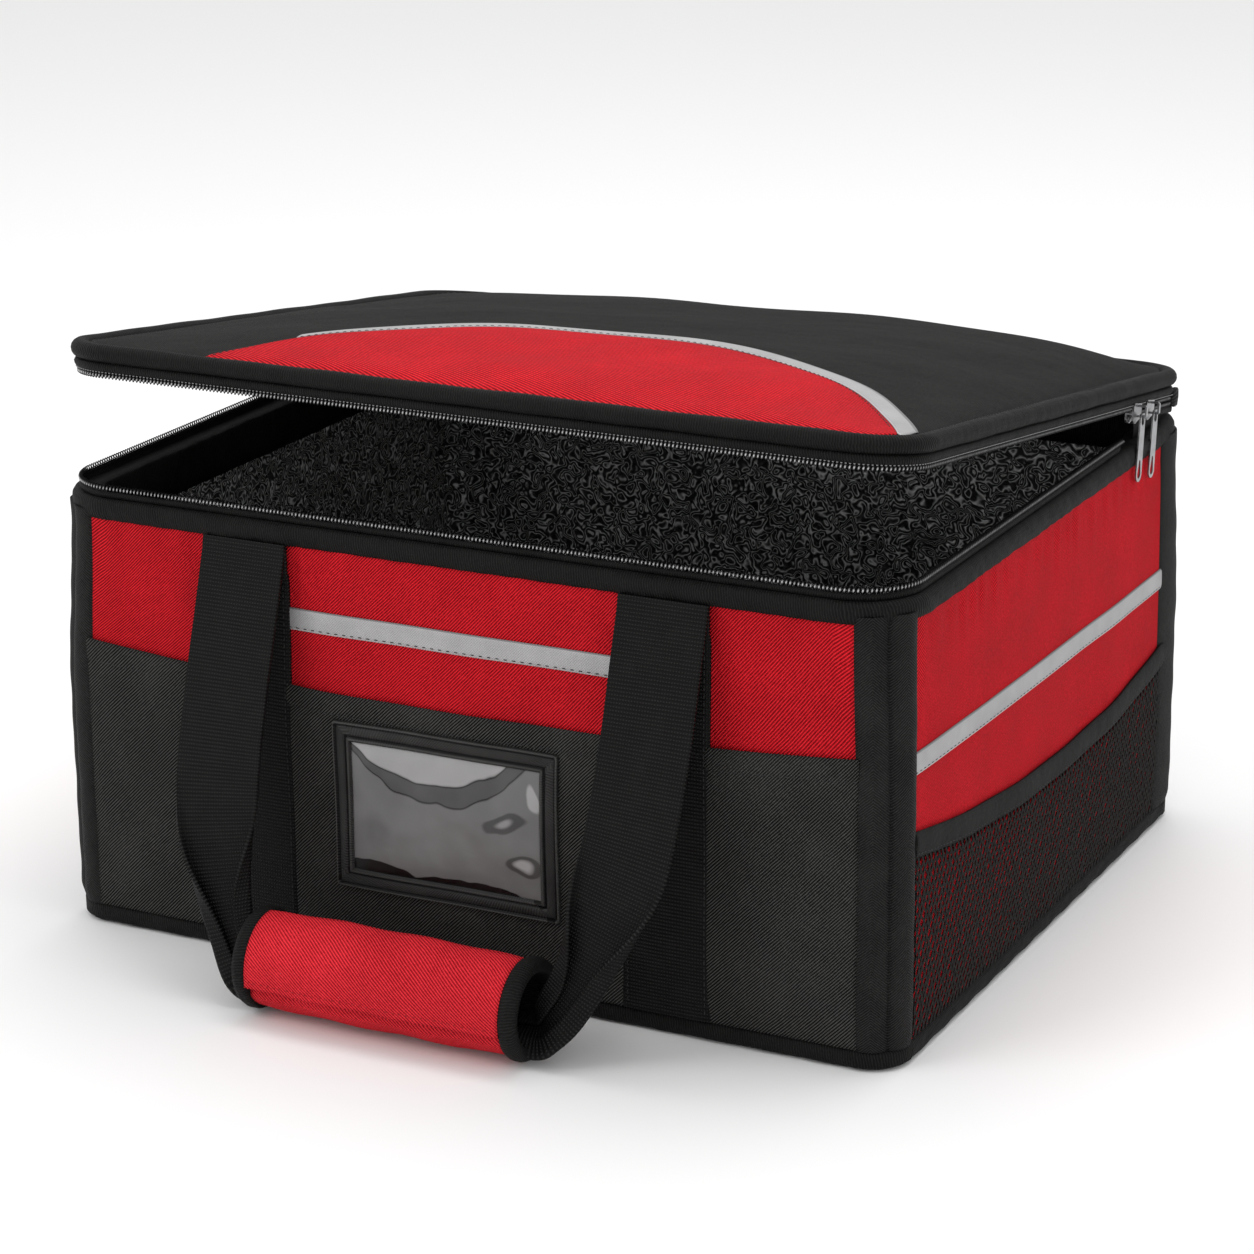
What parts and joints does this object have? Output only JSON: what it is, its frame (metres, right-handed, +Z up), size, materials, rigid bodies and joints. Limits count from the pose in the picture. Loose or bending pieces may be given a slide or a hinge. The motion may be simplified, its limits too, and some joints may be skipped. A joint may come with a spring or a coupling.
{
  "type": "pizza delivery bag",
  "caption": "Insulated rectangular delivery bag with padded walls, a lid that zips round its rim, a padded grip on a webbing handle, and pockets on its walls.",
  "frame": {"origin": "centre of the base, on the surface that the bag stands on", "axes": "+Z up, -Y towards the front with the padded grip, +X towards the side with the mesh pocket"},
  "size_m": [0.5051, 0.5575, 0.3314],
  "materials": {
    "red_twill": "ribbed polyester twill, matt",
    "black_twill": "black polyester twill, matt",
    "black_binding": "woven ribbed tape, matt",
    "black_webbing": "woven webbing with cross ribs, matt",
    "black_mesh": "knitted net",
    "liner_foil": "embossed film, glossy",
    "reflective_tape": "light grey reflective tape",
    "vinyl": "semi-gloss vinyl",
    "clear_film": "clear flexible film",
    "zip_coil": "moulded nylon",
    "slider_metal": "plated metal"
  },
  "bodies": {
    "bag": {"base_panel": "black_twill", "front_wall": "red_twill", "rear_wall": "red_twill", "left_wall": "red_twill", "right_wall": "red_twill", "front_right_corner_binding": "black_binding", "front_left_corner_binding": "black_binding", "rear_right_corner_binding": "black_binding", "rear_left_corner_binding": "black_binding", "wall_liner": "liner_foil", "floor_liner": "liner_foil", "bottom_binding": "black_binding", "rim_band": "black_binding", "body_zip_tape": "black_binding", "body_zip_chain": "zip_coil", "left_zip_stop": "slider_metal", "rear_hinge_tape": "black_binding", "front_pocket_left": "black_twill", "front_pocket_middle": "black_twill", "front_pocket_right": "black_twill", "id_window_frame": "vinyl", "id_window_film": "clear_film", "mesh_pocket_band": "black_binding", "mesh_pocket_net": "black_mesh", "left_lower_panel": "black_twill", "front_reflective_strip": "reflective_tape", "right_reflective_strip": "reflective_tape", "left_reflective_strip": "reflective_tape", "rear_lower_left": "black_twill", "rear_lower_middle": "black_twill", "rear_lower_right": "black_twill", "front_left_webbing": "black_webbing", "front_right_webbing": "black_webbing", "rear_left_webbing": "black_webbing", "rear_right_webbing": "black_webbing"},
    "lid": {"lid_panel": "black_twill", "lid_red_panel": "red_twill", "lid_reflective_arc": "reflective_tape", "lid_binding": "black_binding", "lid_liner": "liner_foil", "lid_zip_tape": "black_binding", "lid_zip_chain": "zip_coil", "lid_hinge_tape": "black_binding", "closed_zip_row": "zip_coil", "closed_zip_tape": "black_binding", "right_zip_stop": "slider_metal"},
    "front_handle": {"front_handle_strap": "black_webbing", "grip_wrap": "red_twill", "left_grip_binding": "black_binding", "right_grip_binding": "black_binding"},
    "flap": {"grip_flap": "red_twill"},
    "rear_handle": {"rear_handle_strap": "black_webbing"},
    "slider_rear": {"zip_slider_rear": "slider_metal"},
    "slider_front": {"zip_slider_front": "slider_metal"},
    "tab_rear": {"pull_tab_rear": "slider_metal"},
    "tab_front": {"pull_tab_front": "slider_metal"}
  },
  "joints": [
    {"name": "lid_hinge", "type": "hinge", "parent": "bag", "child": "lid", "pos_m": [0, 0.213, 0.254], "axis": [-1, 0, 0], "range_deg": [-7.8, 97.2]},
    {"name": "front_handle_swing", "type": "hinge", "parent": "bag", "child": "front_handle", "pos_m": [0, -0.2216, 0.229], "axis": [1, 0, 0], "range_deg": [-160, 0]},
    {"name": "rear_handle_swing", "type": "hinge", "parent": "bag", "child": "rear_handle", "pos_m": [0, 0.2216, 0.229], "axis": [-1, 0, 0], "range_deg": [-170, 0]},
    {"name": "grip_flap_hinge", "type": "hinge", "parent": "front_handle", "child": "flap", "pos_m": [0, -0.27333, 0.0534], "axis": [-1, 0, 0], "range_deg": [0, 110]},
    {"name": "slider_rear_run", "type": "slide", "parent": "lid", "child": "slider_rear", "axis": [0, -0.9907, 0.1357], "range_m": [0, 0.165]},
    {"name": "slider_front_run", "type": "slide", "parent": "slider_rear", "child": "slider_front", "axis": [0, -0.9907, 0.1357], "range_m": [0, 0.12]},
    {"name": "tab_rear_swing", "type": "hinge", "parent": "slider_rear", "child": "tab_rear", "pos_m": [0.2516, 0.14939, 0.2612], "axis": [0, -0.9907, 0.1357], "range_deg": [0, 140]},
    {"name": "tab_front_swing", "type": "hinge", "parent": "slider_front", "child": "tab_front", "pos_m": [0.2516, 0.12759, 0.26419], "axis": [0, -0.9907, 0.1357], "range_deg": [0, 140]}
  ]
}
